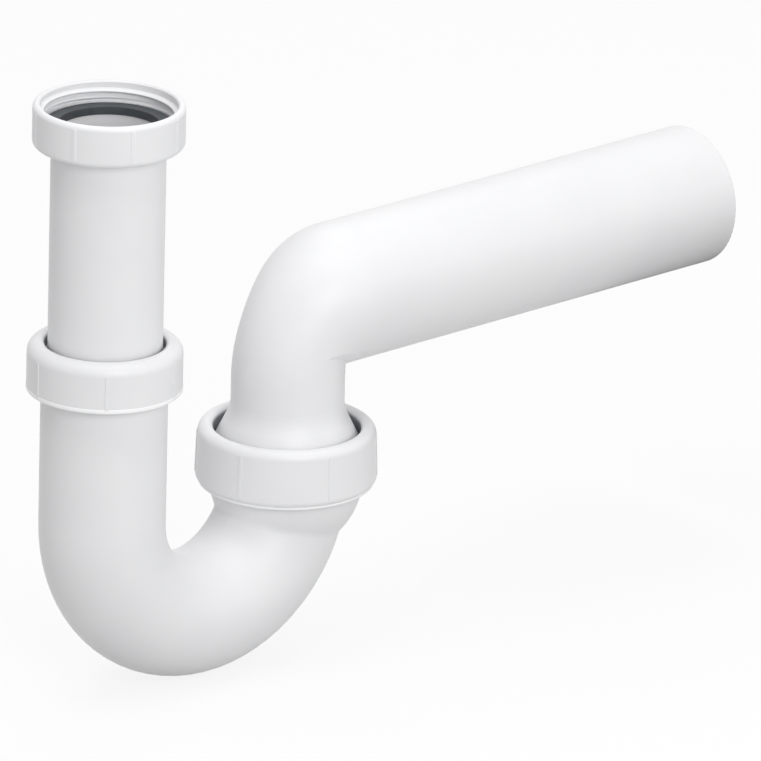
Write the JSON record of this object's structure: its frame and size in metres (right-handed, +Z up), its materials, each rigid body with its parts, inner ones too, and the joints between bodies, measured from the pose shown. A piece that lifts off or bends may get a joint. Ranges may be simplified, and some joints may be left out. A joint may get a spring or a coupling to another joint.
{
  "type": "tubular trap",
  "caption": "White plastic tubular P-trap with a threaded inlet nut, sliding inlet tube, U-shaped bend, swivelling elbow and a plain outlet pipe, joined by union nuts.",
  "frame": {"origin": "centre of the inlet washer's upper face, where the waste outlet's tail seats inside the inlet nut", "axes": "+Z up out of the inlet nut along its thread, +X from the inlet leg to the outlet leg and along the outlet pipe"},
  "size_m": [0.3023, 0.0638, 0.2188],
  "materials": {
    "white_plastic": "moulded polypropylene, satin gloss",
    "black_rubber": "moulded rubber, matte"
  },
  "bodies": {
    "bend": {"trap_bend": "white_plastic", "slip_ring": "white_plastic", "outlet_seal": "black_rubber"},
    "slip_seal": {"slip_seal": "black_rubber"},
    "inlet_tube": {"inlet_tube": "white_plastic", "inlet_washer": "black_rubber"},
    "inlet_nut": {"inlet_nut": "white_plastic"},
    "slip_nut": {"slip_nut": "white_plastic"},
    "outlet_elbow": {"outlet_elbow": "white_plastic"},
    "outlet_nut": {"outlet_nut": "white_plastic"}
  },
  "joints": [
    {"name": "inlet_swivel", "type": "hinge", "parent": "bend", "child": "slip_seal", "pos_m": [0, 0, -0.0857], "axis": [0, 0, 1], "continuous": true},
    {"name": "inlet_height", "type": "slide", "parent": "slip_seal", "child": "inlet_tube", "axis": [0, 0, 1], "range_m": [-0.025, 0.02]},
    {"name": "inlet_nut_turn", "type": "hinge", "parent": "inlet_tube", "child": "inlet_nut", "pos_m": [0, 0, 0], "axis": [0, 0, 1], "continuous": true},
    {"name": "slip_nut_turn", "type": "hinge", "parent": "bend", "child": "slip_nut", "pos_m": [0, 0, -0.0879], "axis": [0, 0, 1], "continuous": true},
    {"name": "outlet_swivel", "type": "hinge", "parent": "bend", "child": "outlet_elbow", "pos_m": [0.085, 0, -0.1415], "axis": [0, 0, 1], "range_deg": [-135, 135]},
    {"name": "outlet_nut_turn", "type": "hinge", "parent": "bend", "child": "outlet_nut", "pos_m": [0.085, 0, -0.1399], "axis": [0, 0, 1], "continuous": true}
  ]
}
